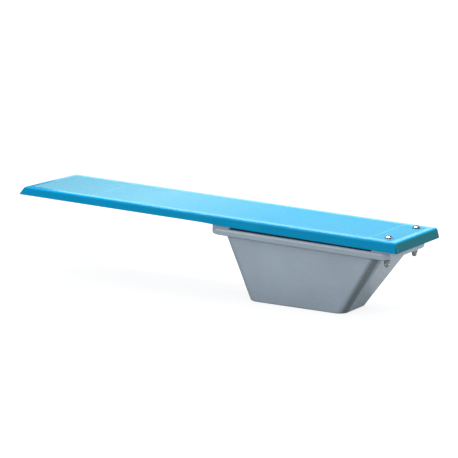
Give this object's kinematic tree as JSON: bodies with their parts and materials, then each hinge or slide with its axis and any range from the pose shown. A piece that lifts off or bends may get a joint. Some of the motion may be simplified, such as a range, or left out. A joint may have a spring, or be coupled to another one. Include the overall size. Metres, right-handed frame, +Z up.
{
  "type": "diving board",
  "caption": "Residential diving board: moulded blue board with sanded tread, bolted at its rear to a grey tub-shaped fibreglass stand; its free end flexes at the fulcrum.",
  "frame": {"origin": "centre of the stand's flat underside, where it rests on the pool deck", "axes": "+X along the board towards its tip, +Y to the diver's left, +Z up"},
  "size_m": [1.8365, 0.457, 0.3936],
  "materials": {
    "board_gelcoat": "glossy blue gelcoat",
    "board_tread": "sanded non-slip blue top coat",
    "board_laminate": "rolled-on blue laminate, slightly rough",
    "stand_gelcoat": "satin grey gelcoat",
    "glass_laminate": "raw chopped-strand glass laminate",
    "timber_core": "planed softwood",
    "pad_rubber": "matt black-grey rubber",
    "chrome": "polished chrome plating",
    "sleeve_steel": "zinc-plated steel"
  },
  "bodies": {
    "stand": {"acorn_nut_left": "chrome", "acorn_nut_right": "chrome", "base_plate": "timber_core", "board_shell_rear": "board_gelcoat", "board_underskin_rear": "board_laminate", "bolt_left": "chrome", "bolt_right": "chrome", "bolt_sleeve_left": "sleeve_steel", "bolt_sleeve_right": "sleeve_steel", "core_stringer_1_rear": "timber_core", "core_stringer_2_rear": "timber_core", "core_stringer_3_rear": "timber_core", "core_stringer_4_rear": "timber_core", "cup_washer_left": "chrome", "cup_washer_right": "chrome", "fulcrum_pad": "pad_rubber", "fulcrum_riser": "stand_gelcoat", "lower_cushion_left": "pad_rubber", "lower_cushion_right": "pad_rubber", "lower_washer_left": "chrome", "lower_washer_right": "chrome", "rear_pad": "pad_rubber", "rear_riser": "stand_gelcoat", "rim_core_front": "timber_core", "rim_core_left": "timber_core", "rim_core_rear": "timber_core", "rim_core_right": "timber_core", "rubber_washer_left": "pad_rubber", "rubber_washer_right": "pad_rubber", "stand_rim_deck": "stand_gelcoat", "stand_shell": "stand_gelcoat", "tread_bolt_panel": "board_tread", "tread_main_rear": "board_tread", "wall_rib_left_front": "glass_laminate", "wall_rib_left_rear": "glass_laminate", "wall_rib_right_front": "glass_laminate", "wall_rib_right_rear": "glass_laminate"},
    "free_end": {"board_shell_front": "board_gelcoat", "board_underskin_front": "board_laminate", "tread_tip": "board_tread", "tread_main_front": "board_tread", "core_stringer_1_front": "timber_core", "core_stringer_2_front": "timber_core", "core_stringer_3_front": "timber_core", "core_stringer_4_front": "timber_core"}
  },
  "joints": [
    {"name": "board_flex", "type": "hinge", "parent": "stand", "child": "free_end", "pos_m": [0.3801, 0, 0.33646], "axis": [0, 1, 0], "range_deg": [-2, 6.5], "stiffness_Nm_per_rad": 30000, "springref_deg": -0.09}
  ]
}
